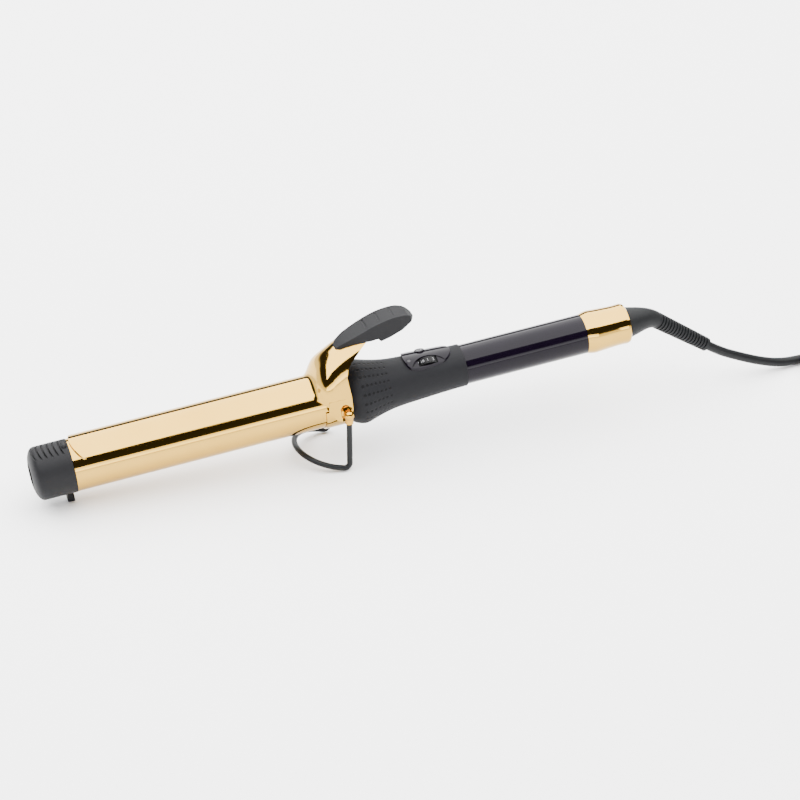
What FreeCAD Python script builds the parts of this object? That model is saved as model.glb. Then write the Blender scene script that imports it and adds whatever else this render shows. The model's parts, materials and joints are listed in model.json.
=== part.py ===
import FreeCAD
import Part
import math
import os

V = FreeCAD.Vector

# A spring-clamp curling iron standing on its wire stand and tip foot, with its lead tied in a hank.
# Iron frame: X runs along the iron from tip to handle, Z is up, and the clamp's pivot is at 0, 0, 0.
# All sizes are in millimetres and degrees.

# barrel
barrelRadius = 16.0
barrelWall = 1.4
barrelLength = 165.0
barrelTuck = 14.0
fitGap = 0.05
# tip cap
capLength = 24.6
capLift = 0.15
capWall = 2.4
capRound = 5.0
capRecessRadius = 7.2
capRecessDepth = 4.0
grooveCount = 6
groovePitch = 3.3
grooveWidth = 1.1
tabRadius = 1.7
tabHalfWidth = 2.6
footDrop = 7.6
footBack = 4.0
footWidth = 5.0
# clamp
clampGap = 0.6
clampWall = 1.0
clampHalfAngle = 51.0
clampRootX = -18.2
screwGrip = 3.4
tongueLength = 8.5
earGap = 0.4
earRadius = 5.4
# pivot
studWall = 0.65
studHeadLip = 1.4
studHeadDepth = 1.2
runningGap = 0.05
bracketWall = 1.0
bracketFront = -12.4
# stand
wireRadius = 1.75
pivotHeight = 38.7
legClearance = 0.1
bowReach = 28.5
bowRise = 16.0
hookBend = 2.2
collarRadius = 3.1
collarNeck = 2.5
collarDrop = 5.2
footBend = 3.0
# handle
handleRadius = 12.25
handleWall = 1.65
gripSwell = 3.7
gripFront = 4.0
gripRear = 78.6
gripRearWall = 0.75
collarFront = 15.2
collarRear = 36.0
handleFront = 24.0
handleRear = 157.2
# control panel
panelFront = 42.0
panelRear = 72.0
panelHalfWidth = 9.6
panelDepth = 0.7
panelLift = 1.3
dialX = 56.0
dialAngle = 66.0
dialRadius = 10.0
dialThickness = 4.4
dialProud = 0.45
dialGap = 0.4
buttonX = 54.0
buttonAngle = 106.0
buttonRadius = 3.0
buttonProud = 0.7
buttonTravel = 0.8
buttonLow = 11.9
lensX = 44.8
lensAngle = 75.0
lensRadius = 1.1
# end ferrule and lead swivel
ferruleLength = 28.6
ferruleRadius = 13.3
ferruleWall = 2.2
neckWall = 1.05
swivelGap = 0.1
swivelFlangeRadius = 10.3
reliefBend = 40.0
reliefLength = 43.0
reliefRadius = 5.2
reliefEndRadius = 4.4
ribCount = 18
# lead
cordRadius = 2.9
hankRun = 87.0
hankFold = 20.3
hankColumns = 2
hankLayers = 3
plugWidth = 24.0
plugHeight = 17.0
plugLength = 31.0
bladeSpacing = 12.7
bladeLength = 17.0
bladeRoot = 4.0
plugSleeve = 12.0
tieWidth = 8.0
tieWall = 1.1

capFront = -barrelLength - capLength
capRadius = barrelRadius + capLift
footReach = capRadius + footDrop
gripRadius = barrelRadius + gripSwell
gripRearRadius = handleRadius + gripRearWall
studRadius = wireRadius + studWall
studHeadRadius = studRadius + studHeadLip
barrelBore = barrelRadius - barrelWall
handleBore = handleRadius - handleWall
clampInner = barrelRadius + clampGap
clampOuter = clampInner + clampWall
bracketOuter = barrelRadius + fitGap + bracketWall
earInner = bracketOuter + earGap
earOuter = earInner + clampWall
studEnd = earOuter + 0.15 + studHeadDepth
standHalfWidth = studEnd + legClearance + hookBend
neckRadius = ferruleRadius - 1.7 - 1.0 - neckWall
cowlBase = barrelRadius - 16.0


def polar(x, radius, angle):
    """Point at a radius and an angle above the near side, seen along the iron."""
    a = math.radians(angle)
    return V(x, -radius * math.cos(a), radius * math.sin(a))


def face(points):
    return Part.Face(Part.makePolygon(points + [points[0]]))


def turned(profile):
    """Solid of revolution about the iron's axis from (x, radius) corners."""
    return face([V(x, 0, r) for x, r in profile]).revolve(V(0, 0, 0), V(1, 0, 0), 360)


def turnedCurve(curve, closing):
    """As turned, with a smooth curve through the first points."""
    spline = Part.BSplineCurve()
    spline.interpolate([V(x, 0, r) for x, r in curve])
    rest = [V(x, 0, r) for x, r in [curve[-1]] + closing + [curve[0]]]
    edges = [spline.toShape()]
    for a, b in zip(rest, rest[1:]):
        edges.append(Part.LineSegment(a, b).toShape())
    return Part.Face(Part.Wire(edges)).revolve(V(0, 0, 0), V(1, 0, 0), 360)


def rod(x0, x1, radius, y=0.0, z=0.0):
    return Part.makeCylinder(radius, x1 - x0, V(x0, y, z), V(1, 0, 0))


def pipe(x0, x1, outer, inner):
    return rod(x0, x1, outer).cut(rod(x0 - 1, x1 + 1, inner))


def sector(x0, x1, inner, outer, a0, a1):
    """Part of a tube's wall between two angles."""
    mid = (a0 + a1) / 2.0
    edges = [Part.Arc(polar(x0, outer, a0), polar(x0, outer, mid), polar(x0, outer, a1)).toShape()]
    edges.append(Part.LineSegment(polar(x0, outer, a1), polar(x0, inner, a1)).toShape())
    edges.append(Part.Arc(polar(x0, inner, a1), polar(x0, inner, mid), polar(x0, inner, a0)).toShape())
    edges.append(Part.LineSegment(polar(x0, inner, a0), polar(x0, outer, a0)).toShape())
    return Part.Face(Part.Wire(edges)).extrude(V(x1 - x0, 0, 0))


def block(x0, x1, y0, y1, z0, z1):
    return Part.makeBox(x1 - x0, y1 - y0, z1 - z0, V(x0, y0, z0))


def prism(points, height):
    """Upright prism on a closed outline of (x, y) corners."""
    return face([V(x, y, -height) for x, y in points]).extrude(V(0, 0, 2 * height))


def radial(shape, angle):
    """Turns a shape built on the +Z side to an angle above the near side."""
    turned_shape = shape.copy()
    turned_shape.rotate(V(0, 0, 0), V(1, 0, 0), 90 - angle)
    return turned_shape


def cross_rod(x, z, radius, y0, y1):
    return Part.makeCylinder(radius, y1 - y0, V(x, y0, z), V(0, 1, 0))


def both_sides(shape):
    return [shape, shape.mirror(V(0, 0, 0), V(0, 1, 0))]


def round_path(points, radii):
    """Straight runs joined by tangent arcs of the given radii."""
    edges = []
    last = points[0]
    for before, corner, after, radius in zip(points, points[1:], points[2:], radii):
        u = (corner - before).normalize()
        w = (after - corner).normalize()
        turn = u.getAngle(w)
        reach = radius * math.tan(turn / 2)
        start = corner - u * reach
        end = corner + w * reach
        inward = (w - u).normalize()
        middle = corner + inward * (radius / math.cos(turn / 2) - radius)
        edges.append(Part.LineSegment(last, start).toShape())
        edges.append(Part.Arc(start, middle, end).toShape())
        last = end
    edges.append(Part.LineSegment(last, points[-1]).toShape())
    return Part.Wire(edges)


def sweep(path, radius):
    start = path.Edges[0]
    ring = Part.Circle(start.valueAt(start.FirstParameter), start.tangentAt(start.FirstParameter), radius)
    return path.makePipeShell([Part.Wire(ring.toShape())], True, False)


def cord_tube(points):
    """Lead between hand-placed points, each arc as large as its two runs allow."""
    radii = []
    for a, b, c in zip(points, points[1:], points[2:]):
        turn = (b - a).getAngle(c - b)
        radii.append(0.45 * min((b - a).Length, (c - b).Length) / math.tan(turn / 2))
    path = round_path(points, radii)
    tube = sweep(path, cordRadius)
    wanted = math.pi * cordRadius ** 2 * path.Length
    print("cord radii", [round(r, 1) for r in radii])
    print("cord length", round(path.Length, 1), "volume ratio", round(tube.Volume / wanted, 4))
    return tube


# ---------------------------------------------------------------- barrel and heater

def pivot_holes(radius):
    return cross_rod(0, 0, radius, -40, 40)


def barrel_tube():
    return pipe(-barrelLength, barrelTuck, barrelRadius, barrelBore).cut(pivot_holes(studRadius + fitGap))


def cap_grip_band():
    """Shallow flat patch with curved grooves on top of the tip cap."""
    first = capFront + 3.4
    cuts = []
    for i in range(grooveCount):
        x = first + i * groovePitch
        ring = Part.makeCylinder(22.0 + grooveWidth, 20, V(x + 22.0, 0, capRadius - 2.2))
        ring = ring.cut(Part.makeCylinder(22.0, 20, V(x + 22.0, 0, capRadius - 2.2)))
        window = block(x - 2, x + 8, -9.6, 9.6, capRadius - 2.2, capRadius + 5)
        cuts.append(ring.common(window))
    return cuts


def tip_cap():
    x0 = capFront
    x1 = -barrelLength - 0.3
    edge = [(x0, capRecessRadius), (x0 + 0.4, capRadius - 6.6), (x0 + 1.4, capRadius - 3.4)]
    edge += [(x0 + capRound * 0.6, capRadius - 1.0), (x0 + capRound + 1.0, capRadius)]
    back = [(x1, capRadius), (x1, barrelBore - fitGap), (x1 + 7.0, barrelBore - fitGap)]
    back += [(x1 + 7.0, barrelBore - 2.0), (x0 + 6.4, barrelBore - 2.0), (x0 + 6.4, 1.6)]
    back += [(x0 + capRecessDepth, 1.6), (x0 + capRecessDepth, capRecessRadius)]
    cap = turnedCurve(edge, back)
    for cut in cap_grip_band():
        cap = cap.cut(cut)
    tab = cross_rod(x1 - 2.2, capRadius - 0.5, tabRadius, -tabHalfWidth, tabHalfWidth)
    for y in (-tabHalfWidth, tabHalfWidth):
        tab = tab.fuse(Part.makeSphere(tabRadius, V(x1 - 2.2, y, capRadius - 0.5)))
    return cap.fuse(tab.common(block(x1 - 6, x1 - 0.3, -8, 8, capRadius - 1.6, capRadius + 4)))


def foot_x():
    return -barrelLength - footBack


def tip_foot():
    """Small stepped peg under the cap's back edge, cut level with the table."""
    x = foot_x()
    top = capRadius - 0.4
    side = [V(x - 1.2, 0, -top), V(x + 2.0, 0, -top), V(x + 2.2, 0, -footReach - 2)]
    side += [V(x - 2.1, 0, -footReach - 2), V(x - 2.1, 0, -footReach + 2.0)]
    peg = face(side).extrude(V(0, footWidth, 0)).translate(V(0, -footWidth / 2, 0))
    return peg.cut(rod(x - 5, x + 5, capRadius + 0.01))


def tip_plug():
    return turned([(-157.6, 2.6), (-157.6, barrelBore - 0.1), (-150, barrelBore - 0.1), (-150, 2.6)])


def tip_screw():
    x = capFront + capRecessDepth
    head = rod(x - 1.4, x, 3.0).cut(block(x - 1.5, x - 0.7, -0.5, 0.5, -4, 4))
    return head.fuse(rod(x, -148.5, 1.5))


def spreader_half(upper):
    body = rod(-132, -36, barrelBore - 0.1)
    side = 1 if upper else -1
    keep = block(-140, -30, -20, 20, 0, 20)
    if not upper:
        keep = block(-140, -30, -20, 20, -20, 0)
    half = body.common(keep).cut(block(-140, -30, -7.6, 7.6, -2.35, 2.35))
    return half.cut(block(-140, -30, -20, 20, -0.2, 0.2)).cut(rod(-140, -30, 2.0, 0, side * 9.0))


def insulation_film():
    outer = block(-128, -40, -7.5, 7.5, -2.3, 2.3)
    return outer.cut(block(-129, -39, -7.2, 7.2, -2.0, 2.0))


def heater_plates():
    plates = []
    for i in range(3):
        x = -124 + i * 27.0
        plates.append(block(x, x + 25, -6.6, 6.6, -1.6, 1.6))
    return Part.makeCompound(plates)


def heater_leads():
    leads = [rod(-34, 71, 0.8, y, -6.5) for y in (-3.2, 3.2)]
    return Part.makeCompound(leads)


def thermal_fuse():
    fuse = rod(-30, -19, 2.0, 0, 5.5)
    return fuse.fuse(rod(-35, -12, 0.5, 0, 5.5))


def temperature_sensor():
    return rod(-70, -34, 1.2, 0, 9.0).fuse(Part.makeSphere(1.6, V(-70, 0, 9.0)))


# ---------------------------------------------------------------- clamp

def arch_points(half_width, bottom, top):
    points = []
    for i in range(15):
        t = math.pi * i / 14.0
        c = math.cos(t)
        y = -half_width * math.copysign(abs(c) ** 0.75, c)
        points.append((y, bottom + (top - bottom) * abs(math.sin(t)) ** 0.75))
    return points


def arc_points(radius):
    points = []
    half = clampHalfAngle - 0.4
    for i in range(15):
        angle = 90 - half + 2 * half * i / 14.0
        p = polar(0, radius, angle)
        points.append((p.y, p.z))
    return points


def ring_wire(x, outer, inner):
    curves = []
    for points in (outer, inner):
        spline = Part.BSplineCurve()
        spline.interpolate([V(x, y, z) for y, z in points])
        curves.append(spline)
    a, b = curves
    edges = [a.toShape(), Part.LineSegment(a.EndPoint, b.EndPoint).toShape()]
    edges += [b.toShape(), Part.LineSegment(b.StartPoint, a.StartPoint).toShape()]
    return Part.Wire(Part.__sortEdges__(edges))


def neck_sections():
    """Stations along the clamp's cowl: x, half width, bottom and top of the arch."""
    w = earOuter
    sections = [(-12.0, w - 1.0, 7.0, 24.6), (-5.0, w, 4.0, 31.2), (3.6, w, 4.0, 36.4)]
    sections += [(12.0, w - 3.2, 14.0, 38.8), (22.0, w - 8.2, 29.0, 39.2)]
    return [(x, half, bottom, top + cowlBase) for x, half, bottom, top in sections]


def neck_shell():
    inset = 0.1
    wires = []
    for x in (clampRootX - 2.0, clampRootX):
        wires.append(ring_wire(x, arc_points(clampOuter - inset), arc_points(clampInner + inset)))
    for x, half_width, bottom, top in neck_sections():
        inner = arch_points(half_width - clampWall, bottom, top - clampWall)
        wires.append(ring_wire(x, arch_points(half_width, bottom, top), inner))
    return Part.makeLoft(wires, True, False)


def neck_block():
    """The cowl filled in, for what must stand on top of it."""
    wires = []
    for x, half_width, bottom, top in neck_sections():
        spline = Part.BSplineCurve()
        spline.interpolate([V(x, y, z) for y, z in arch_points(half_width, bottom, top)])
        edges = [spline.toShape(), Part.LineSegment(spline.EndPoint, spline.StartPoint).toShape()]
        wires.append(Part.Wire(edges))
    return Part.makeLoft(wires, True, False)


def lip_cutter():
    """Everything behind the cowl's back edge, seen from the side."""
    lip = [(3.9, -20), (3.9, 10), (3.1, 18), (2.9, 23), (4.4, 27.5), (7.2, 30.6), (10.5, 33.0)]
    lip += [(15.0, 35.6), (20.4, 38.2), (21.0, 45), (60, 45), (60, -20)]
    return face([V(x, -30, z + cowlBase) for x, z in lip]).extrude(V(0, 60, 0))


def ear():
    """Flat side plate from the cowl down round the pivot."""
    y = -earOuter
    arc = Part.Arc(V(-7.6, y, -2.6), V(0, y, -earRadius), V(3.9, y, -1.4)).toShape()
    corners = [V(3.9, y, -1.4), V(3.9, y, 9.6), V(-10.4, y, 9.6), V(-11.0, y, 3.0), V(-7.6, y, -2.6)]
    edges = [arc]
    for a, b in zip(corners, corners[1:]):
        edges.append(Part.LineSegment(a, b).toShape())
    return Part.Face(Part.Wire(edges)).extrude(V(0, clampWall, 0))


def screw_places():
    return [9.0, 16.0]


def clamp_spoon():
    tip = -barrelLength + 1.0
    half = clampOuter * math.sin(math.radians(clampHalfAngle)) + 0.15
    end = Part.Ellipse(V(tip + tongueLength, half, -30), V(tip, 0, -30), V(tip + tongueLength, 0, -30))
    arc = Part.Arc(end, 0, math.pi).toShape()
    a = arc.Vertexes[0].Point
    b = arc.Vertexes[1].Point
    back_a = V(clampRootX + 5, a.y, -30)
    back_b = V(clampRootX + 5, b.y, -30)
    lines = [(b, back_b), (back_b, back_a), (back_a, a)]
    outline = Part.Wire(Part.__sortEdges__([arc] + [Part.LineSegment(p, q).toShape() for p, q in lines]))
    plan = Part.Face(outline).extrude(V(0, 0, 80))
    a0 = 90 - clampHalfAngle
    spoon = sector(tip - 1, clampRootX, clampInner, clampOuter, a0, 180 - a0).common(plan)
    shell = neck_shell().cut(lip_cutter())
    clamp = spoon.fuse(shell)
    for plate in both_sides(ear()):
        clamp = clamp.fuse(plate)
    clamp = clamp.cut(pivot_holes(studRadius + runningGap))
    for room in both_sides(cross_rod(0, 0, studHeadRadius + 0.3, -30, -earOuter)):
        clamp = clamp.cut(room)
    for x in screw_places():
        clamp = clamp.cut(Part.makeCylinder(1.3, 30, V(x, 0, 25)))
    return clamp


def screw_under(x):
    """Height of the cowl's top at a screw, from inside."""
    return cowlBase + (36.55 if x < 12 else 37.35)


def thumb_rest():
    """Long leaf-shaped press pad on the clamp's back end, with three finger grooves."""
    top = [(0.6, 36.0), (4.0, 38.6), (9.0, 41.2), (16.3, 44.2), (25.0, 47.4), (33.0, 49.2)]
    top += [(40.0, 49.7), (46.5, 48.4)]
    low = [(50.6, 45.4), (49.6, 43.8), (42.0, 39.9), (34.0, 37.1), (28.2, 35.9), (26.6, 38.0), (20.6, 37.4)]
    low += [(2.0, 33.0)]
    spline = Part.BSplineCurve()
    spline.interpolate([V(x, -7.2, z) for x, z in top])
    corners = [V(x, -7.2, z) for x, z in [top[-1]] + low + [top[0]]]
    edges = [spline.toShape()]
    for a, b in zip(corners, corners[1:]):
        edges.append(Part.LineSegment(a, b).toShape())
    pad = Part.Face(Part.Wire(edges)).extrude(V(0, 14.4, 0))
    plan = [(0.4, -1.5), (2.4, -4.2), (8.0, -6.0), (16.0, -6.9), (30.0, -7.2), (42.0, -6.8), (48.5, -5.4)]
    plan += [(50.4, -2.6)]
    plan += [(x, -y) for x, y in reversed(plan)]
    pad = pad.common(prism(plan, 60)).translate(V(0, 0, cowlBase))
    pad = pad.cut(neck_block())
    for x, z in ((20.5, 46.6), (29.0, 49.3), (38.0, 50.6)):
        pad = pad.cut(cross_rod(x, z + cowlBase, 1.1, -3.8, 5.2))
    for x in screw_places():
        pad = pad.cut(Part.makeCylinder(1.0, screwGrip + 0.3, V(x, 0, screw_under(x))))
    return pad


def thumb_rest_screws():
    screws = []
    for x in screw_places():
        under = screw_under(x)
        head = Part.makeCylinder(2.2, 1.3, V(x, 0, under - 1.3))
        screws.append(head.fuse(Part.makeCylinder(0.98, screwGrip + 0.5, V(x, 0, under - 0.5))))
    return Part.makeCompound(screws)


def clamp_bracket():
    """Saddle under the barrel whose two ends carry the pivot studs."""
    r0 = barrelRadius + fitGap
    band = sector(bracketFront, gripFront - 0.6, r0, bracketOuter, -186, 6)
    lug = sector(-5.0, gripFront - 0.6, r0, bracketOuter, -196, 16)
    return band.fuse(lug).cut(pivot_holes(studRadius + fitGap))


def pivot_studs():
    """Hollow riveted studs: the clamp's ears turn on them and the stand hooks into them."""
    y0 = studHeadDepth - studEnd
    shank = cross_rod(0, 0, studRadius, y0, -barrelBore + 1.6)
    head = Part.makeCone(studHeadRadius - 0.9, studHeadRadius, 0.8, V(0, -studEnd, 0), V(0, 1, 0))
    head = head.fuse(cross_rod(0, 0, studHeadRadius, y0 - 0.4, y0))
    flange = cross_rod(0, 0, studRadius + 1.3, -barrelBore + 1.0, -barrelBore + 1.6)
    stud = shank.fuse(head).fuse(flange)
    stud = stud.cut(cross_rod(0, 0, wireRadius + runningGap, -40, 0))
    return Part.makeCompound(both_sides(stud))


def clamp_spring():
    """Torsion spring under the cowl: close turns, one leg along the barrel, one up to the cowl."""
    wire = 0.65
    z = barrelRadius + 4.6
    spring = Part.makeTorus(3.2, wire, V(-1.0, -3.0, z), V(0, 1, 0))
    for i in range(1, 6):
        spring = spring.fuse(Part.makeTorus(3.2, wire, V(-1.0, -3.0 + i * 1.2, z), V(0, 1, 0)))
    foot = Part.makeCylinder(wire, 8.0, V(-1.0, -3.0, z - 3.2), V(-1, 0, 0))
    arm = Part.makeCylinder(wire, 10.0, V(-4.2, 3.0, z), V(0.1, 0, 1))
    return spring.fuse(foot).fuse(arm)


# ---------------------------------------------------------------- handle and grip

def grip_curve(lift=0.0):
    """Outer outline of the soft grip: steep shoulder, widest ring, long taper."""
    r = gripRadius
    rear = gripRearRadius
    points = [(gripFront, r - 3.9), (6.6, r - 2.0), (10.0, r - 0.5), (13.6, r), (17.0, r - 0.8)]
    points += [(24.6, r - 2.9), (32.7, r - 4.4), (41.0, r - 5.1), (52.0, rear + 1.0), (64.0, rear + 0.4)]
    points += [(gripRear, rear)]
    return [(x, radius + lift) for x, radius in points]


def grip_solid(lift=0.0):
    return turnedCurve(grip_curve(lift), [(gripRear, 0), (gripFront, 0)])


def panel_outline(gap=0.0):
    """Plan outline of the control panel: blunt front, rounded back."""
    w = panelHalfWidth + gap
    f = panelFront - gap
    b = panelRear + gap
    side = [(f, 0), (f + 0.5, w * 0.55), (f + 1.8, w * 0.86), (f + 4.6, w), (f + 11.0, w * 1.005)]
    side += [(b - 12.0, w * 0.93), (b - 5.0, w * 0.76), (b - 1.6, w * 0.45), (b, 0)]
    other = [(x, -y) for x, y in reversed(side[1:-1])]
    spline = Part.BSplineCurve()
    spline.interpolate([V(x, y, 0) for x, y in side + other], PeriodicFlag=True)
    return Part.Face(Part.Wire(spline.toShape())).extrude(V(0, 0, 40))


def dial_frame(shape):
    return radial(shape, dialAngle)


def dial_centre():
    return gripRearRadius + 0.9 + panelLift + dialProud - dialRadius


def dial_slot(gap):
    """Room for the thumbwheel: a slot through the wall above it."""
    half = dialThickness / 2 + gap
    z = dial_centre()
    slot = cross_rod(dialX, z, dialRadius + gap, -half, half)
    return dial_frame(slot)


def dial_scoop():
    """Lens-shaped hollow in the panel round the thumbwheel."""
    reach = dialRadius + 0.7
    floor = dial_centre() + dialRadius - dialProud - 1.0
    upper = Part.Arc(V(dialX - reach, -2.6, floor), V(dialX, 3.7, floor), V(dialX + reach, -2.6, floor))
    lower = Part.Arc(V(dialX + reach, -2.6, floor), V(dialX, -3.4, floor), V(dialX - reach, -2.6, floor))
    outline = Part.Wire([upper.toShape(), lower.toShape()])
    return dial_frame(Part.Face(outline).extrude(V(0, 0, 10)))


def button_hole(radius, z0, z1):
    return radial(Part.makeCylinder(radius, z1 - z0, V(buttonX, 0, z0), V(0, 0, 1)), buttonAngle)


def lens_hole(radius, z0, z1):
    return radial(Part.makeCylinder(radius, z1 - z0, V(lensX, 0, z0), V(0, 0, 1)), lensAngle)


def grip_sleeve():
    grip = grip_solid()
    grip = grip.cut(rod(gripFront - 1, collarFront, barrelRadius + 0.3))
    grip = grip.cut(rod(gripFront - 1, collarRear, barrelBore - 1.0 + fitGap))
    grip = grip.cut(rod(gripFront - 1, gripRear + 1, handleRadius + fitGap))
    pocket = panel_outline(fitGap).cut(grip_solid(-panelDepth))
    grip = grip.cut(pocket)
    for hole in (dial_slot(dialGap), button_hole(buttonRadius + 0.9, 5, 30), lens_hole(lensRadius, 5, 30)):
        grip = grip.cut(hole)
    return grip


def control_panel():
    """Raised gloss inset on top of the grip."""
    top = [(36.0, 15.6), (43.0, 15.9), (56.0, 15.2), (68.0, 14.5), (76.0, 13.9)]
    cover = turnedCurve(top, [(76.0, 5), (36.0, 5)])
    panel = cover.common(panel_outline()).cut(grip_solid(-panelDepth + fitGap))
    for hole in (dial_slot(dialGap), dial_scoop(), button_hole(buttonRadius + 0.15, 5, 30)):
        panel = panel.cut(hole)
    return panel.cut(lens_hole(lensRadius, 5, 30))


def indicator_lens():
    return lens_hole(lensRadius - fitGap, handleRadius + 0.1, 15.75)


def temperature_dial():
    """Thumbwheel with a knurled rim, lying across the handle's axis."""
    z = dial_centre()
    half = dialThickness / 2
    wheel = cross_rod(dialX, z, dialRadius, -half, half)
    notches = 36
    for i in range(notches):
        a = 2 * math.pi * i / notches
        x = dialX + dialRadius * math.cos(a)
        for y in (-half, half - 0.9):
            wheel = wheel.cut(cross_rod(x, z + dialRadius * math.sin(a), 0.3, y - 0.01, y + 0.91))
    wheel = wheel.cut(cross_rod(dialX, z, 1.5, -5, 5))
    return dial_frame(wheel)


def dial_shaft():
    return dial_frame(cross_rod(dialX, dial_centre(), 1.5, -5.2, dialThickness / 2))


def rheostat():
    z = dial_centre()
    body = cross_rod(dialX, z, 3.1, -5.6, -4.1).cut(cross_rod(dialX, z, 1.5 + runningGap, -6, -4))
    return dial_frame(body)


def dial_bracket():
    """Upright plate that holds the rheostat beside the thumbwheel."""
    z = dial_centre()
    plate = block(dialX - 5, dialX + 5, -3.9, -2.9, -9.4, z + 3.5)
    return dial_frame(plate.cut(cross_rod(dialX, z, 1.5 + runningGap, -6, 0)))


def power_button():
    """Round push button with a flange below the panel and a stem to its switch."""
    low = buttonLow
    button = Part.makeCylinder(buttonRadius, 15.3 + buttonProud - low, V(buttonX, 0, low))
    button = button.fuse(Part.makeCylinder(buttonRadius + 0.5, 0.6, V(buttonX, 0, low)))
    button = button.fuse(Part.makeCylinder(1.2, 2.1, V(buttonX, 0, low - 2.1)))
    return radial(button, buttonAngle)


def button_switch():
    top = buttonLow - 2.1 - buttonTravel - 0.2
    switch = block(buttonX - 2.6, buttonX + 2.6, -1.6, 2.2, top - 1.6, top)
    return radial(switch, buttonAngle)


def rear_collar():
    """Heat-resistant collar that joins the barrel to the handle tube."""
    spigot = barrelBore - fitGap
    outer = [(4.4, 9.0), (4.4, spigot), (barrelTuck + 0.4, spigot), (collarFront - 0.1, barrelBore - 1.0)]
    outer += [(collarRear, barrelBore - 1.0), (collarRear, handleRadius + fitGap)]
    outer += [(handleFront, handleRadius + fitGap), (handleFront, 9.0)]
    return turned(outer)


def handle_tube():
    tube = pipe(handleFront, handleRear, handleRadius, handleBore)
    for hole in (dial_slot(dialGap), button_hole(buttonRadius + 0.9, 5, 30), lens_hole(lensRadius, 5, 30)):
        tube = tube.cut(hole)
    return tube


def control_board():
    return block(74, 134, -8.4, 8.4, -5.6, -4.0)


def board_parts():
    power = block(80, 96, -5, 5, -3.95, 1.6)
    capacitor = Part.makeCylinder(3.4, 8.4, V(108, 2.5, -3.95))
    coil = Part.makeCylinder(3.0, 5.5, V(118, -3.2, -3.95))
    terminals = block(124, 132, -5, 5, -3.95, 1.0)
    return Part.makeCompound([power, capacitor, coil, terminals])


def board_cradle():
    """Half-round cradle that carries the circuit board in the handle tube."""
    bar = rod(72, 138, handleBore - 0.1).common(block(71, 139, -12, 12, -12, -5.7))
    return bar.cut(block(76, 134, -6.6, 6.6, -7.9, -5))


# ---------------------------------------------------------------- ferrule, swivel, relief

def ferrule_rear():
    return handleRear + ferruleLength


def end_ferrule():
    """Flared metal end cap with a spigot in the handle tube and a room for the swivel's flange."""
    x0 = handleRear + 0.05
    x1 = ferrule_rear()
    r = ferruleRadius
    curve = [(x0, handleRadius - 0.1), (x0 + 2.0, r - 0.55), (x0 + 4.8, r), (x0 + 8.5, r - 0.1)]
    curve += [(x0 + 15.0, r - 0.5), (x1 - 2.0, r - 0.65)]
    neck = neckRadius + swivelGap
    inner = [(x1 - 0.5, r - 1.0), (x1, r - 1.7), (x1, neck), (x1 - 6.0, neck)]
    inner += [(x1 - 6.0, r - ferruleWall), (x0 + 6.0, r - ferruleWall), (x0 + 6.0, handleBore - 1.6)]
    inner += [(x0 - 9.0, handleBore - 1.6), (x0 - 9.0, handleBore - fitGap), (x0, handleBore - fitGap)]
    return turnedCurve(curve, inner)


def contact_block():
    x = handleRear + 1.0
    return turned([(x, 2.4), (x, handleBore - 1.7), (x + 5.0, handleBore - 1.7), (x + 5.0, 2.4)])


def swivel_flange_x():
    return ferrule_rear() - 12.0


def contact_pins():
    x0 = handleRear + 6.0
    x1 = swivel_flange_x() - 1.0
    return Part.makeCompound([rod(x0, x1, 0.9, y) for y in (-5.4, 7.4)])


def slip_rings():
    x = swivel_flange_x()
    return Part.makeCompound([pipe(x - 0.7, x, 6.3, 4.5), pipe(x - 0.7, x, 8.3, 6.6)])


def relief_start():
    return V(ferrule_rear() + 20.4, 0, -3.6)


def swivel_elbow():
    """Flange and neck that turn in the ferrule, and the bend down to the strain relief."""
    x0 = swivel_flange_x()
    x1 = ferrule_rear()
    shoulder = x1 - 6.1
    base = turned([(x0, 0), (x0, swivelFlangeRadius), (shoulder, swivelFlangeRadius), (shoulder, neckRadius),
                   (x1 + 1.6, neckRadius), (x1 + 1.6, 0)])
    start = relief_start()
    stations = [(x1 + 1.6, 0, 0, neckRadius), (x1 + 9.2, -0.2, 5, 7.8), (x1 + 15.6, -1.2, 20, 6.2)]
    stations.append((start.x, start.z, reliefBend, reliefRadius))
    rings = []
    for x, z, bend, radius in stations:
        a = math.radians(bend)
        normal = V(math.cos(a), 0, -math.sin(a))
        rings.append(Part.Wire(Part.Circle(V(x, 0, z), normal, radius).toShape()))
    return base.fuse(Part.makeLoft(rings, True, False))


def strain_relief():
    """Tapered sleeve with fine ribs, its gaps cut down to a thinner core."""
    pitch = reliefLength / ribCount
    profile = [(0, 0), (0, reliefRadius)]
    for i in range(ribCount):
        x = i * pitch
        r = reliefRadius + (reliefEndRadius - reliefRadius) * i / (ribCount - 1)
        profile.append((x + pitch * 0.6, r))
        if i < ribCount - 1:
            profile += [(x + pitch * 0.6, r - 0.9), (x + pitch, r - 0.9), (x + pitch, r)]
    profile += [(reliefLength, profile[-1][1]), (reliefLength, 0)]
    relief = turned(profile)
    relief.rotate(V(0, 0, 0), V(0, 1, 0), reliefBend)
    relief.translate(relief_start())
    return relief


# ---------------------------------------------------------------- standing on the table

def tilt():
    """Angle that rests the iron on its tip foot and its stand, handle end higher."""
    reach = math.hypot(foot_x(), footReach)
    return math.degrees(math.asin(pivotHeight / reach) - math.atan2(footReach, -foot_x()))


def stood(shape):
    """Iron frame to the table: tilted, with the pivot above 0, 0."""
    shape = shape.copy()
    shape.rotate(V(0, 0, 0), V(0, 1, 0), -tilt())
    shape.translate(V(0, 0, pivotHeight))
    return shape


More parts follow.
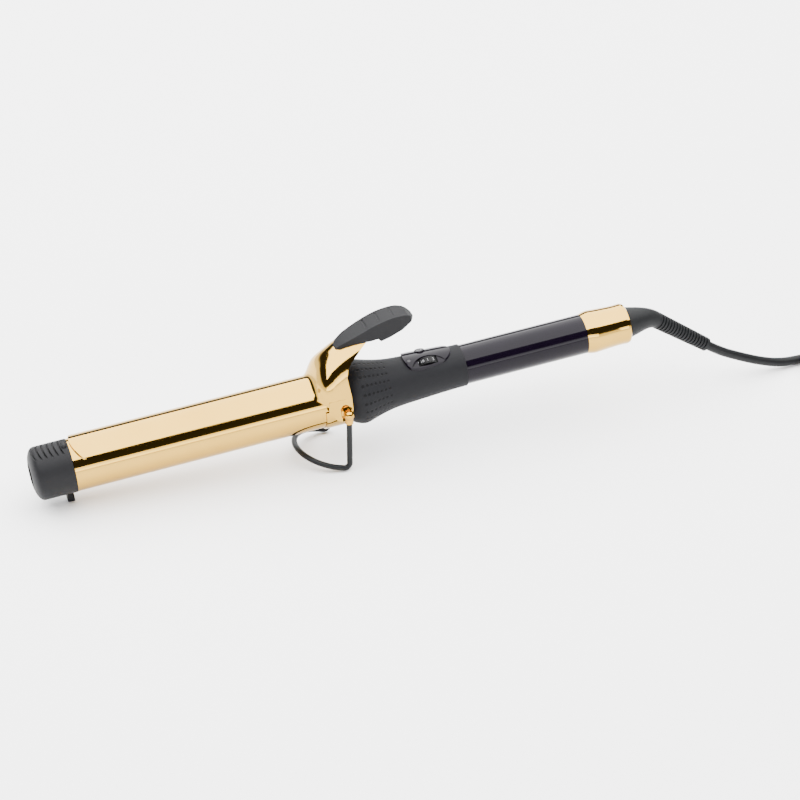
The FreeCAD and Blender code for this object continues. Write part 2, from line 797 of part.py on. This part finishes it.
def stand_wire():
    """One bent rod: hooks in the studs, two upright legs, and a rounded bow that rises forwards."""
    rise = math.radians(bowRise)
    turn = math.pi / 2 + rise
    dip = footBend * (math.tan(turn / 2) - 1)
    z0 = wireRadius - dip
    run = bowReach - standHalfWidth
    near = [V(0, -barrelBore - 0.4, pivotHeight), V(0, -standHalfWidth, pivotHeight)]
    near.append(V(0, -standHalfWidth, z0))
    near.append(V(-run * math.cos(rise), -standHalfWidth, z0 + run * math.sin(rise)))
    tip = V(-bowReach * math.cos(rise), 0, z0 + bowReach * math.sin(rise))
    half = round_path(near, [hookBend, footBend])
    far = half.mirror(V(0, 0, 0), V(0, 1, 0))
    bow = Part.Arc(near[-1], tip, V(near[-1].x, standHalfWidth, near[-1].z)).toShape()
    path = Part.Wire(Part.__sortEdges__(half.Edges + [bow] + far.Edges))
    return sweep(path, wireRadius)


def stand_collars():
    """Round fittings that close the wire's two upper bends, each with a short neck down the leg."""
    y = -standHalfWidth + 0.1
    knob = Part.makeSphere(collarRadius, V(0, y, pivotHeight))
    knob = knob.fuse(Part.makeCylinder(collarNeck, collarDrop, V(0, y, pivotHeight - collarDrop)))
    knob = knob.cut(block(-9, 9, -studEnd - 0.12, 0, 0, 90)).cut(stand_wire())
    return Part.makeCompound(both_sides(knob))


# ---------------------------------------------------------------- lead, hank and plug
# These lie on the table; their places are measured from the centre of the iron's footprint.

hankX = 310.0
hankY = -18.0

leadRoute = [
    V(213.9, 0, 28.9),
    V(223.5, 0, 22.2),
    V(237.0, 0.2, 15.6),
    V(253.0, 0.4, 8.6),
    V(268.0, 1.0, 4.0),
    V(282.0, 2.3, 2.9),
    V(294.0, 3.9, 2.9),
    V(304.0, 4.8, 2.9),
]

tailRoute = [
    V(396.0, -35.4, 14.5),
    V(384.0, -35.8, 16.2),
    V(371.0, -35.2, 20.4),
    V(359.0, -35.6, 24.6),
    V(348.0, -35.4, 26.0),
]


def hank_section():
    """Half width and height of the hank's section."""
    wire = 2 * cordRadius
    return hankColumns * wire / 2.0 + 0.1, hankLayers * wire + 0.1


def stadium(radius, height):
    """Flat-ended block with round ends, as long as the hank's runs between them."""
    middle = block(0, hankRun, -radius, radius, 0, height)
    for x in (0, hankRun):
        middle = middle.fuse(Part.makeCylinder(radius, height, V(x, 0, 0)))
    return middle.removeSplitter()


def cord_hank():
    half, height = hank_section()
    hank = stadium(hankFold + half, height).cut(stadium(hankFold - half, height))
    outer_edges = [e for e in hank.Edges if abs(e.BoundBox.YMax) > hankFold and e.BoundBox.ZLength < 0.01]
    hank = hank.makeFillet(2.0, outer_edges)
    return hank.translate(V(hankX, hankY, 0))


def cord_tie():
    """Flat band round the waist of the hank."""
    half, height = hank_section()
    y = hankFold + half
    x = hankRun / 2
    band = block(x - tieWidth / 2, x + tieWidth / 2, -y - tieWall, y + tieWall, 0, height + tieWall)
    band = band.cut(block(x - tieWidth, x + tieWidth, -y, y, tieWall, height))
    return band.translate(V(hankX, hankY, 0))


def plug_place(shape):
    """Plug frame, lead end at 0 and blades along +X, to its place on top of the hank."""
    shape.rotate(V(0, 0, 0), V(0, 0, 1), 180)
    return shape.translate(tailRoute[-1])


def plug_body():
    """Moulded plug: tapered sleeve, then a waisted body that lies on the hank."""
    half = plugHeight / 2
    w = plugWidth / 2
    start = plugSleeve
    outline = [(start, w - 4.5), (start + 3, w - 2.4), (start + 8, w - 1.6), (start + 16, w - 2.2)]
    outline += [(start + plugLength - 5, w - 0.3), (start + plugLength, w)]
    outline += [(x, -y) for x, y in reversed(outline)]
    body = face([V(x, y, -half) for x, y in outline]).extrude(V(0, 0, plugHeight))
    side = [(start, half - 2.5), (start + 2.5, half), (start + plugLength, half)]
    side += [(x, -z) for x, z in reversed(side)]
    body = body.common(face([V(x, -plugWidth, z) for x, z in side]).extrude(V(0, 2 * plugWidth, 0)))
    sleeve = Part.makeCone(cordRadius + 1.3, half - 2.5, start + 0.5, V(0, 0, 0), V(1, 0, 0))
    return plug_place(body.fuse(sleeve))


def plug_blades():
    start = plugSleeve + plugLength
    blades = []
    for side in (-1, 1):
        y = side * bladeSpacing / 2
        blade = block(start - bladeRoot, start + bladeLength, y - 0.75, y + 0.75, -3.2, 3.2)
        blades.append(blade.cut(cross_rod(start + bladeLength - 4.5, 0, 1.6, y - 2, y + 2)))
    return plug_place(Part.makeCompound(blades))


# ---------------------------------------------------------------- assembly

ironParts = {
    "barrel_tube": barrel_tube,
    "tip_cap": tip_cap,
    "tip_foot": tip_foot,
    "tip_plug": tip_plug,
    "tip_screw": tip_screw,
    "heat_spreader_upper": lambda: spreader_half(True),
    "heat_spreader_lower": lambda: spreader_half(False),
    "insulation_film": insulation_film,
    "heater_plates": heater_plates,
    "heater_leads": heater_leads,
    "thermal_fuse": thermal_fuse,
    "temperature_sensor": temperature_sensor,
    "clamp_spoon": clamp_spoon,
    "thumb_rest": thumb_rest,
    "thumb_rest_screws": thumb_rest_screws,
    "clamp_bracket": clamp_bracket,
    "pivot_studs": pivot_studs,
    "clamp_spring": clamp_spring,
    "rear_collar": rear_collar,
    "handle_tube": handle_tube,
    "grip_sleeve": grip_sleeve,
    "control_panel": control_panel,
    "indicator_lens": indicator_lens,
    "temperature_dial": temperature_dial,
    "dial_shaft": dial_shaft,
    "rheostat": rheostat,
    "dial_bracket": dial_bracket,
    "power_button": power_button,
    "button_switch": button_switch,
    "control_board": control_board,
    "board_parts": board_parts,
    "board_cradle": board_cradle,
    "end_ferrule": end_ferrule,
    "contact_block": contact_block,
    "contact_pins": contact_pins,
    "slip_rings": slip_rings,
    "swivel_elbow": swivel_elbow,
    "strain_relief": strain_relief,
}

leadParts = {
    "mains_cord": lambda: cord_tube(leadRoute),
    "cord_tail": lambda: cord_tube(tailRoute),
    "cord_hank": cord_hank,
    "cord_tie": cord_tie,
    "plug_body": plug_body,
    "plug_blades": plug_blades,
}


def main():
    os.makedirs("parts", exist_ok=True)
    shapes = {name: stood(make()) for name, make in ironParts.items()}
    foot_cut = block(-400, 400, -100, 100, -50, 0)
    shapes["tip_foot"] = shapes["tip_foot"].cut(foot_cut)
    shapes["stand_wire"] = stand_wire()
    shapes["stand_collars"] = stand_collars()
    box = Part.makeCompound(list(shapes.values())).optimalBoundingBox()
    centre = (box.XMin + box.XMax) / 2
    for shape in shapes.values():
        shape.translate(V(-centre, 0, 0))
    shapes.update({name: make() for name, make in leadParts.items()})
    for name, shape in shapes.items():
        shape.exportStep("parts/" + name + ".step")
        print(name, len(shape.Solids), round(shape.Volume, 1), shape.isValid())
    print("pivot at", round(-centre, 4), 0, pivotHeight, "tilt", round(tilt(), 4))


main()
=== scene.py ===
import json
import math

import bpy
from mathutils import Matrix, Vector


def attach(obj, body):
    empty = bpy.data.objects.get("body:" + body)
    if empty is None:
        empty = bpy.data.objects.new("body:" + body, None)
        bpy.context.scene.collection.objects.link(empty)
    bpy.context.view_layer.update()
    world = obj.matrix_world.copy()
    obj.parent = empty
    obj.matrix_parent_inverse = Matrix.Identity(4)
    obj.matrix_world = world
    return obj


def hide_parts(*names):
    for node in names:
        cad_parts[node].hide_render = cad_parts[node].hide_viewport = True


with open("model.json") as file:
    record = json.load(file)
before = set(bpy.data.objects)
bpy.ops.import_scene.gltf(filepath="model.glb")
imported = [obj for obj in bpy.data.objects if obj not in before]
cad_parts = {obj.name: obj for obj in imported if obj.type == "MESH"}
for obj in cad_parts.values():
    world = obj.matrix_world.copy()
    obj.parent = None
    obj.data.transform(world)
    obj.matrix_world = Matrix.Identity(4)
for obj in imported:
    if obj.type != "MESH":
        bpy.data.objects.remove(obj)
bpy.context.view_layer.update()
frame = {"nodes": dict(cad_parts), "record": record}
nodes = frame["nodes"]
joints = {joint["name"]: joint for joint in frame["record"]["behaviour"]["joints"]}

# the iron leans: its own axis runs from the pivot along the swivel's axis
pivot = Vector(joints["clamp_hinge"]["pos_m"])
ironAxis = Vector(joints["cord_swivel"]["axis"]).normalized()
lean = math.atan2(ironAxis.z, ironAxis.x)
print("iron leans", round(math.degrees(lean), 2), "degrees")


def blankMaterial(name):
    material = bpy.data.materials.new(name)
    material.use_nodes = True
    tree = material.node_tree
    return material, tree, tree.nodes["Principled BSDF"]


def node(tree, kind, **settings):
    made = tree.nodes.new(kind)
    for key, value in settings.items():
        setattr(made, key, value)
    return made


def maths(tree, operation, first, second=None):
    made = node(tree, "ShaderNodeMath", operation=operation)
    for socket, value in zip(made.inputs, (first, second)):
        if value is None:
            continue
        if isinstance(value, (int, float)):
            socket.default_value = value
        else:
            tree.links.new(value, socket)
    return made.outputs[0]


def ironPlace(tree):
    # object coordinates turned into the iron's own axes, in millimetres
    coords = node(tree, "ShaderNodeTexCoord")
    turnBack = node(tree, "ShaderNodeMapping")
    origin = Matrix.Rotation(lean, 3, "Y") @ pivot
    turnBack.inputs["Location"].default_value = -1000 * origin
    turnBack.inputs["Rotation"].default_value = (0, lean, 0)
    turnBack.inputs["Scale"].default_value = (1000, 1000, 1000)
    tree.links.new(coords.outputs["Object"], turnBack.inputs["Vector"])
    return turnBack.outputs["Vector"]


def noise(tree, place, scale, detail=3.0):
    made = node(tree, "ShaderNodeTexNoise")
    made.inputs["Scale"].default_value = scale
    made.inputs["Detail"].default_value = detail
    tree.links.new(place, made.inputs["Vector"])
    return made.outputs["Fac"]


def between(tree, value, low, high):
    made = node(tree, "ShaderNodeMapRange")
    made.inputs["To Min"].default_value = low
    made.inputs["To Max"].default_value = high
    tree.links.new(value, made.inputs["Value"])
    return made.outputs["Result"]


def blend(tree, factor, first, second):
    made = node(tree, "ShaderNodeMix", data_type="RGBA")
    made.inputs["A"].default_value = (*first, 1)
    made.inputs["B"].default_value = (*second, 1)
    tree.links.new(factor, made.inputs["Factor"])
    return made.outputs["Result"]


def relief(tree, height, strength, distance):
    made = node(tree, "ShaderNodeBump")
    made.inputs["Strength"].default_value = strength
    made.inputs["Distance"].default_value = distance
    tree.links.new(height, made.inputs["Height"])
    return made.outputs["Normal"]


def polishedMetal(name, look):
    material, tree, shader = blankMaterial(name)
    place = ironPlace(tree)
    cloud = noise(tree, place, 0.03)
    tree.links.new(blend(tree, cloud, look["colour"], look["deep"]), shader.inputs["Base Color"])
    shader.inputs["Metallic"].default_value = 1.0
    smear = noise(tree, place, 0.12, 5.0)
    tree.links.new(between(tree, smear, look["smooth"], look["rough"]), shader.inputs["Roughness"])
    ripple = noise(tree, place, 0.06, 1.0)
    tree.links.new(relief(tree, ripple, 0.08, 0.00002), shader.inputs["Normal"])
    return material


def mouldedPlastic(name, look):
    # fine spark-eroded grain over a soft colour drift
    material, tree, shader = blankMaterial(name)
    place = ironPlace(tree)
    drift = noise(tree, place, 0.08)
    tree.links.new(blend(tree, drift, look["colour"], look["second"]), shader.inputs["Base Color"])
    grain = noise(tree, place, look["grain"], 2.0)
    tree.links.new(between(tree, grain, look["smooth"], look["rough"]), shader.inputs["Roughness"])
    tree.links.new(relief(tree, grain, look["depth"], 0.00006), shader.inputs["Normal"])
    shader.inputs["Specular IOR Level"].default_value = look.get("shine", 0.12)
    shader.inputs["Coat Weight"].default_value = look.get("coat", 0.0)
    shader.inputs["Coat Roughness"].default_value = 0.05
    return material


gripLook = {
    "colour": (0.0064, 0.0065, 0.0076),
    "second": (0.0080, 0.0081, 0.0093),
    "shine": 0.10,
    "rowsAround": 22,
    "pitch": 2.8,
    "firstDot": 17.6,
    "dots": 5,
    "firstRadius": 1.07,  # each next dot along a row is smaller by the shrink
    "shrink": 0.05,
    "shoulderDots": 2,
}


def grippedRubber(name, look):
    # soft-touch skin with short rows of small dimples round the wide end, bumped in, with painted shade
    # darkening the colour inside each dimple
    material, tree, shader = blankMaterial(name)
    place = ironPlace(tree)
    split = node(tree, "ShaderNodeSeparateXYZ")
    tree.links.new(place, split.inputs[0])
    along, across, up = split.outputs
    angle = maths(tree, "ARCTAN2", up, maths(tree, "MULTIPLY", across, -1.0))
    turns = maths(tree, "MULTIPLY", angle, look["rowsAround"] / (2 * math.pi))
    offRow = maths(tree, "SUBTRACT", maths(tree, "FRACT", turns), 0.5)
    radius = maths(tree, "SQRT", maths(tree, "ADD", maths(tree, "MULTIPLY", up, up),
                                       maths(tree, "MULTIPLY", across, across)))
    sideways = maths(tree, "MULTIPLY", maths(tree, "MULTIPLY", offRow, radius),
                     2 * math.pi / look["rowsAround"])
    start = look["firstDot"] - look["pitch"] * (look["shoulderDots"] + 0.5)
    column = maths(tree, "DIVIDE", maths(tree, "SUBTRACT", along, start), look["pitch"])
    offMiddle = maths(tree, "SUBTRACT", maths(tree, "FRACT", column), 0.5)
    offColumn = maths(tree, "MULTIPLY", offMiddle, look["pitch"])
    reach = maths(tree, "SQRT", maths(tree, "ADD", maths(tree, "MULTIPLY", offColumn, offColumn),
                                      maths(tree, "MULTIPLY", sideways, sideways)))
    size = maths(tree, "SUBTRACT", look["firstRadius"], maths(tree, "MULTIPLY", column, look["shrink"]))
    hollow = node(tree, "ShaderNodeMapRange", interpolation_type="SMOOTHSTEP")
    tree.links.new(maths(tree, "SUBTRACT", reach, size), hollow.inputs["Value"])
    hollow.inputs["From Min"].default_value = -0.35
    hollow.inputs["From Max"].default_value = 0.1
    hollow.inputs["To Min"].default_value = 1.0
    hollow.inputs["To Max"].default_value = 0.0
    last = look["shoulderDots"] + look["dots"]
    inside = maths(tree, "MULTIPLY", maths(tree, "GREATER_THAN", column, 0.0),
                   maths(tree, "LESS_THAN", column, last))
    dots = maths(tree, "MULTIPLY", hollow.outputs["Result"], inside)
    grain = noise(tree, place, 3.0, 2.0)
    skin = blend(tree, noise(tree, place, 0.05), look["colour"], look["second"])
    # painted shade: the dimple mask darkens the skin's base colour towards near black, standing in for the
    # shade inside each hollow
    dimpleShade = node(tree, "ShaderNodeMix", data_type="RGBA")
    tree.links.new(maths(tree, "MULTIPLY", dots, 0.8), dimpleShade.inputs["Factor"])
    tree.links.new(skin, dimpleShade.inputs["A"])
    dimpleShade.inputs["B"].default_value = (0.0012, 0.0013, 0.0015, 1)
    tree.links.new(dimpleShade.outputs["Result"], shader.inputs["Base Color"])
    tree.links.new(between(tree, grain, 0.52, 0.66), shader.inputs["Roughness"])
    height = maths(tree, "SUBTRACT", maths(tree, "MULTIPLY", grain, 0.05), dots)
    tree.links.new(relief(tree, height, 0.9, 0.0005), shader.inputs["Normal"])
    shader.inputs["Specular IOR Level"].default_value = look["shine"]
    return material


gold = polishedMetal("polishedGold", {
    "colour": (0.52, 0.315, 0.060), "deep": (0.46, 0.270, 0.045),
    "smooth": 0.06, "rough": 0.09,
})
studGold = polishedMetal("studGold", {
    "colour": (0.54, 0.290, 0.035), "deep": (0.48, 0.250, 0.028),
    "smooth": 0.05, "rough": 0.10,
})
brass = polishedMetal("bareBrass", {
    "colour": (0.80, 0.62, 0.30), "deep": (0.72, 0.54, 0.26),
    "smooth": 0.18, "rough": 0.30,
})
steel = polishedMetal("brightSteel", {
    "colour": (0.60, 0.60, 0.62), "deep": (0.52, 0.52, 0.54),
    "smooth": 0.22, "rough": 0.36,
})
aluminium = polishedMetal("bareAluminium", {
    "colour": (0.76, 0.77, 0.78), "deep": (0.68, 0.69, 0.70),
    "smooth": 0.3, "rough": 0.45,
})
capPlastic = mouldedPlastic("heatPlastic", {
    "colour": (0.0060, 0.0060, 0.0069), "second": (0.0076, 0.0076, 0.0086),
    "grain": 4.0, "smooth": 0.46, "rough": 0.60, "depth": 0.25,
})
glossBlack = mouldedPlastic("glossLacquer", {
    "colour": (0.0018, 0.0009, 0.0030), "second": (0.0028, 0.0014, 0.0046),
    "grain": 0.5, "smooth": 0.08, "rough": 0.12, "depth": 0.02, "shine": 0.13,
})
wireBlack = mouldedPlastic("wireBlack", {
    "colour": (0.0040, 0.0045, 0.0048), "second": (0.0055, 0.0060, 0.0064),
    "grain": 1.5, "smooth": 0.26, "rough": 0.40, "depth": 0.1, "shine": 0.16,
})
dialBlack = mouldedPlastic("dialBlack", {
    "colour": (0.0035, 0.0035, 0.0038), "second": (0.0055, 0.0055, 0.0058),
    "grain": 3.0, "smooth": 0.25, "rough": 0.35, "depth": 0.1,
})
reliefRubber = mouldedPlastic("reliefRubber", {
    "colour": (0.0056, 0.0060, 0.0066), "second": (0.0074, 0.0078, 0.0084),
    "grain": 3.5, "smooth": 0.42, "rough": 0.55, "depth": 0.2,
})
cordRubber = mouldedPlastic("cordRubber", {
    "colour": (0.0050, 0.0053, 0.0058), "second": (0.0068, 0.0072, 0.0076),
    "grain": 2.0, "smooth": 0.36, "rough": 0.48, "depth": 0.2,
})
plugPlastic = mouldedPlastic("plugPlastic", {
    "colour": (0.0046, 0.0049, 0.0053), "second": (0.0062, 0.0065, 0.0068),
    "grain": 3.0, "smooth": 0.40, "rough": 0.55, "depth": 0.25,
})
tieRubber = mouldedPlastic("tieRubber", {
    "colour": (0.0070, 0.0070, 0.0074), "second": (0.0095, 0.0095, 0.0099),
    "grain": 5.0, "smooth": 0.55, "rough": 0.70, "depth": 0.3,
})
boardGreen = mouldedPlastic("boardGreen", {
    "colour": (0.02, 0.16, 0.07), "second": (0.03, 0.20, 0.09),
    "grain": 1.5, "smooth": 0.3, "rough": 0.4, "depth": 0.1,
})
micaBoard = mouldedPlastic("micaBoard", {
    "colour": (0.50, 0.44, 0.32), "second": (0.60, 0.54, 0.42),
    "grain": 1.2, "smooth": 0.5, "rough": 0.7, "depth": 0.2,
})
amberFilm = mouldedPlastic("amberFilm", {
    "colour": (0.60, 0.25, 0.04), "second": (0.66, 0.29, 0.05),
    "grain": 0.8, "smooth": 0.12, "rough": 0.22, "depth": 0.05,
})
whiteSleeve = mouldedPlastic("whiteSleeve", {
    "colour": (0.72, 0.71, 0.68), "second": (0.80, 0.79, 0.76),
    "grain": 2.5, "smooth": 0.5, "rough": 0.7, "depth": 0.3,
})
clearLens = mouldedPlastic("clearLens", {
    "colour": (0.012, 0.011, 0.013), "second": (0.018, 0.016, 0.019),
    "grain": 0.5, "smooth": 0.06, "rough": 0.1, "depth": 0.02, "coat": 0.3,
})
whiteInk = mouldedPlastic("whiteInk", {
    "colour": (0.20, 0.20, 0.21), "second": (0.26, 0.26, 0.27),
    "grain": 2.0, "smooth": 0.4, "rough": 0.5, "depth": 0.05,
})
gripRubber = grippedRubber("gripRubber", gripLook)

finishes = {
    gold: ["barrel_tube", "clamp_spoon", "clamp_bracket", "end_ferrule"],
    studGold: ["pivot_studs", "stand_collars"],
    wireBlack: ["stand_wire"],
    capPlastic: ["tip_cap", "tip_foot", "thumb_rest", "rear_collar"],
    gripRubber: ["grip_sleeve"],
    glossBlack: ["handle_tube", "control_panel", "button_switch", "board_parts", "power_button"],
    dialBlack: ["temperature_dial"],
    reliefRubber: ["swivel_elbow", "strain_relief"],
    plugPlastic: ["plug_body"],
    tieRubber: ["cord_tie"],
    brass: ["plug_blades", "contact_pins", "slip_rings"],
    steel: ["tip_screw", "thermal_fuse", "clamp_spring", "rheostat", "dial_bracket", "dial_shaft",
            "thumb_rest_screws"],
    aluminium: ["heat_spreader_upper", "heat_spreader_lower"],
    micaBoard: ["tip_plug", "board_cradle", "contact_block"],
    amberFilm: ["insulation_film"],
    whiteSleeve: ["heater_plates", "heater_leads", "temperature_sensor"],
    boardGreen: ["control_board"],
    clearLens: ["indicator_lens"],
}
for material, names in finishes.items():
    for name in names:
        for place in nodes[name].material_slots:
            place.material = material
print("finished", sum(len(names) for names in finishes.values()), "frame pieces")


leadLook = {
    "diameter": 0.0058,
    "hankStart": (0.310, -0.018),
    "run": 0.087,
    "columns": [0.0232, 0.0174],
    "layers": 3,
    "foldSteps": 8,
    "exit": (0.2139, 0, 0.0289),
}

leadRoute = [
    (0.2139, 0, 0.0289),
    (0.2235, 0, 0.0222),
    (0.2370, 0.0002, 0.0156),
    (0.2530, 0.0004, 0.0086),
    (0.2680, 0.0010, 0.0040),
    (0.2820, 0.0023, 0.0029),
    (0.2940, 0.0039, 0.0029),
    (0.3040, 0.0048, 0.0029),
]

tailRoute = [
    (0.3960, -0.0354, 0.0145),
    (0.3840, -0.0358, 0.0162),
    (0.3710, -0.0352, 0.0204),
    (0.3590, -0.0356, 0.0246),
    (0.3480, -0.0354, 0.0260),
]


def hankTurns(look):
    # each turn keeps its column and layer, and crosses to the next round its last fold
    places = []
    for layer in range(look["layers"]):
        columns = look["columns"] if layer % 2 == 0 else look["columns"][::-1]
        places += [(radius, look["diameter"] * (layer + 0.5)) for radius in columns]
    x0, y0 = look["hankStart"]
    steps = look["foldSteps"]
    points = []
    for turn, (radius, height) in enumerate(places):
        last = turn == len(places) - 1
        nextRadius, nextHeight = places[-1] if last else places[turn + 1]
        for share in (0.25, 0.6):
            points.append((x0 + look["run"] * share, y0 + radius, height))
        for i in range(steps):
            a = math.pi / 2 - math.pi * (i + 0.5) / steps
            reach = radius / math.cos(math.pi / steps / 2)
            points.append((x0 + look["run"] + reach * math.cos(a), y0 + reach * math.sin(a), height))
        if last:
            break
        for share in (0.75, 0.4):
            points.append((x0 + look["run"] * share, y0 - radius, height))
        for i in range(steps):
            cross = (i + 0.5) / steps
            a = -math.pi / 2 - math.pi * cross
            reach = (radius + (nextRadius - radius) * cross) / math.cos(math.pi / steps / 2)
            rise = (nextHeight - height) * cross
            points.append((x0 + reach * math.cos(a), y0 + reach * math.sin(a), height + rise))
    return points


def makeLead(look):
    curve = bpy.data.curves.new("mainsLead", "CURVE")
    curve.dimensions = "3D"
    curve.bevel_depth = look["diameter"] / 2
    curve.bevel_resolution = 5
    curve.resolution_u = 5
    curve.use_fill_caps = True
    points = leadRoute + hankTurns(look) + tailRoute
    spline = curve.splines.new("NURBS")
    spline.points.add(len(points) - 1)
    for target, point in zip(spline.points, points):
        target.co = (*point, 1)
    spline.order_u = 3
    spline.use_endpoint_u = True
    lead = bpy.data.objects.new("mainsLead", curve)
    bpy.context.collection.objects.link(lead)
    curve.materials.append(cordRubber)
    length = sum((Vector(b) - Vector(a)).length for a, b in zip(points, points[1:]))
    print("lead is about", round(length, 3), "m long")
    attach(lead, "swivel")
    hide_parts("mains_cord", "cord_hank", "cord_tail")


makeLead(leadLook)


def ironMatrix(x, angle, radius):
    # local X runs along the iron, Y up round it, Z straight out of it
    a = math.radians(angle)
    basis = Matrix(((1, 0, 0), (0, math.sin(a), -math.cos(a)), (0, math.cos(a), math.sin(a)))).to_4x4()
    out = Matrix.Translation((x * 0.001, -radius * math.cos(a) * 0.001, radius * math.sin(a) * 0.001))
    return Matrix.Translation(pivot) @ Matrix.Rotation(-lean, 4, "Y") @ out @ basis


def setDown(piece, matrix):
    bpy.ops.object.select_all(action="DESELECT")
    piece.select_set(True)
    bpy.context.view_layer.objects.active = piece
    piece.matrix_world = matrix
    bpy.ops.object.transform_apply(location=True, rotation=True, scale=True)


def joined(pieces, name):
    bpy.ops.object.select_all(action="DESELECT")
    for piece in pieces:
        piece.select_set(True)
    bpy.context.view_layer.objects.active = pieces[0]
    bpy.ops.object.join()
    bpy.context.object.name = name
    return bpy.context.object


buttonMark = {"x": 54.0, "angle": 106.0, "top": 16.0, "ring": 0.00125, "line": 0.00017, "bar": 0.0013}


def powerMark(look):
    # a ring open at its top, with an upright bar in the gap
    bpy.ops.object.select_all(action="DESELECT")
    bpy.ops.mesh.primitive_torus_add(major_segments=40, minor_segments=8, major_radius=look["ring"],
                                     minor_radius=look["line"])
    ring = bpy.context.object
    bpy.ops.object.mode_set(mode="EDIT")
    bpy.ops.mesh.select_all(action="DESELECT")
    bpy.ops.object.mode_set(mode="OBJECT")
    for vertex in ring.data.vertices:
        vertex.select = vertex.co.y > look["ring"] * 0.72
    bpy.ops.object.mode_set(mode="EDIT")
    bpy.ops.mesh.delete(type="VERT")
    bpy.ops.mesh.select_all(action="SELECT")
    bpy.ops.mesh.region_to_loop()
    bpy.ops.mesh.fill_holes(sides=0)
    bpy.ops.object.mode_set(mode="OBJECT")
    bpy.ops.object.select_all(action="DESELECT")
    bpy.ops.mesh.primitive_cylinder_add(vertices=12, radius=look["line"], depth=look["bar"],
                                        location=(0, look["ring"] * 0.85, 0), rotation=(math.pi / 2, 0, 0))
    bar = bpy.context.object
    bpy.ops.object.mode_set(mode="EDIT")
    bpy.ops.mesh.bevel(offset=look["line"] * 0.5, segments=2)
    bpy.ops.object.mode_set(mode="OBJECT")
    bpy.ops.object.transform_apply(location=True, rotation=True, scale=True)
    mark = joined([ring, bar], "powerMark")
    setDown(mark, ironMatrix(look["x"], look["angle"], look["top"]))
    mark.data.materials.append(whiteInk)
    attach(mark, "button")


dialMarks = {"x": 56.0, "angle": 66.0, "centre": 5.65, "radius": 9.98, "size": 0.0026, "step": 20}


def dialNumbers(look):
    # plain numbers round the thumbwheel's rim
    numbers = []
    for i in range(360 // look["step"]):
        bpy.ops.object.text_add()
        text = bpy.context.object
        text.data.body = str(i + 1)
        text.data.size = look["size"]
        text.data.align_x = "CENTER"
        text.data.align_y = "CENTER"
        text.data.extrude = 0.00006
        text.data.resolution_u = 3
        bpy.ops.object.convert(target="MESH")
        bpy.context.object.data.materials.clear()
        number = bpy.context.object
        wheel = ironMatrix(look["x"], look["angle"], look["centre"])
        turned = Matrix.Rotation(math.radians(look["step"] * i), 4, "Y")
        setDown(number, wheel @ turned @ Matrix.Translation((0, 0, look["radius"] * 0.001)))
        numbers.append(number)
    marks = joined(numbers, "dialNumbers")
    marks.data.materials.append(whiteInk)
    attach(marks, "dial")


powerMark(buttonMark)
dialNumbers(dialMarks)
print("controls marked")


studio = {
    "floorColour": (0.96, 0.96, 0.96),
    "overhead": {"spot": (0.0, 1.1, 1.6), "aim": (0.0, 1.1, 0.0), "width": 4.0, "height": 4.8,
                 "power": 520.0},
    "front": {"spot": (-0.3, -1.9, 0.35), "aim": (0.0, 0.0, 0.05), "width": 2.4, "height": 0.5,
              "power": 20.0},
    "world": 0.05,
    "horizon": 3.0,
    "horizonFade": (0.08, 0.22),
    "azimuth": -18.26,
    "elevation": 33.0,
    "distance": 1.5789,
    "lens": 117.0,
    "aim": (0.01202, 0.0, 0.02821),
}


def makeFloor(look):
    bpy.ops.mesh.primitive_plane_add(size=6, location=(0, 0, -0.0005))
    floor = bpy.context.object
    floor.name = "studioFloor"
    material, tree, shader = blankMaterial("paleFloor")
    coords = node(tree, "ShaderNodeTexCoord")
    mottle = noise(tree, coords.outputs["Object"], 3.0)
    pale = look["floorColour"]
    tree.links.new(blend(tree, mottle, pale, tuple(c * 0.99 for c in pale)), shader.inputs["Base Color"])
    shader.inputs["Roughness"].default_value = 0.9
    floor.data.materials.append(material)


def softbox(name, look):
    light = bpy.data.lights.new(name, "AREA")
    light.shape = "RECTANGLE"
    light.size = look["width"]
    light.size_y = look["height"]
    light.energy = look["power"]
    lamp = bpy.data.objects.new(name, light)
    bpy.context.collection.objects.link(lamp)
    lamp.location = look["spot"]
    lamp.rotation_euler = (Vector(look["aim"]) - Vector(look["spot"])).to_track_quat("-Z", "Y").to_euler()


def makeStudio(look):
    world = bpy.data.worlds.new("studioWorld")
    bpy.context.scene.world = world
    world.use_nodes = True
    tree = world.node_tree
    # pale round the horizon, dark above it, so polished metal keeps a dark streak
    upward = node(tree, "ShaderNodeSeparateXYZ")
    tree.links.new(node(tree, "ShaderNodeTexCoord").outputs["Generated"], upward.inputs[0])
    sky = node(tree, "ShaderNodeMapRange", interpolation_type="SMOOTHSTEP")
    tree.links.new(upward.outputs["Z"], sky.inputs["Value"])
    sky.inputs["From Min"].default_value, sky.inputs["From Max"].default_value = look["horizonFade"]
    sky.inputs["To Min"].default_value = look["horizon"]
    sky.inputs["To Max"].default_value = look["world"]
    tree.links.new(sky.outputs["Result"], tree.nodes["Background"].inputs["Strength"])
    tree.nodes["Background"].inputs["Color"].default_value = (1, 1, 1, 1)
    softbox("overheadSoftbox", look["overhead"])
    softbox("frontSoftbox", look["front"])


def makeCamera(look):
    data = bpy.data.cameras.new("viewCamera")
    data.lens = look["lens"]
    data.sensor_width = 36
    data.dof.use_dof = False
    camera = bpy.data.objects.new("viewCamera", data)
    bpy.context.collection.objects.link(camera)
    a = math.radians(look["azimuth"])
    e = math.radians(look["elevation"])
    back = Vector((math.sin(a) * math.cos(e), -math.cos(a) * math.cos(e), math.sin(e)))
    camera.location = Vector(look["aim"]) + back * look["distance"]
    camera.rotation_euler = (-back).to_track_quat("-Z", "Y").to_euler()
    bpy.context.scene.camera = camera


makeFloor(studio)
makeStudio(studio)
makeCamera(studio)
print("studio set")
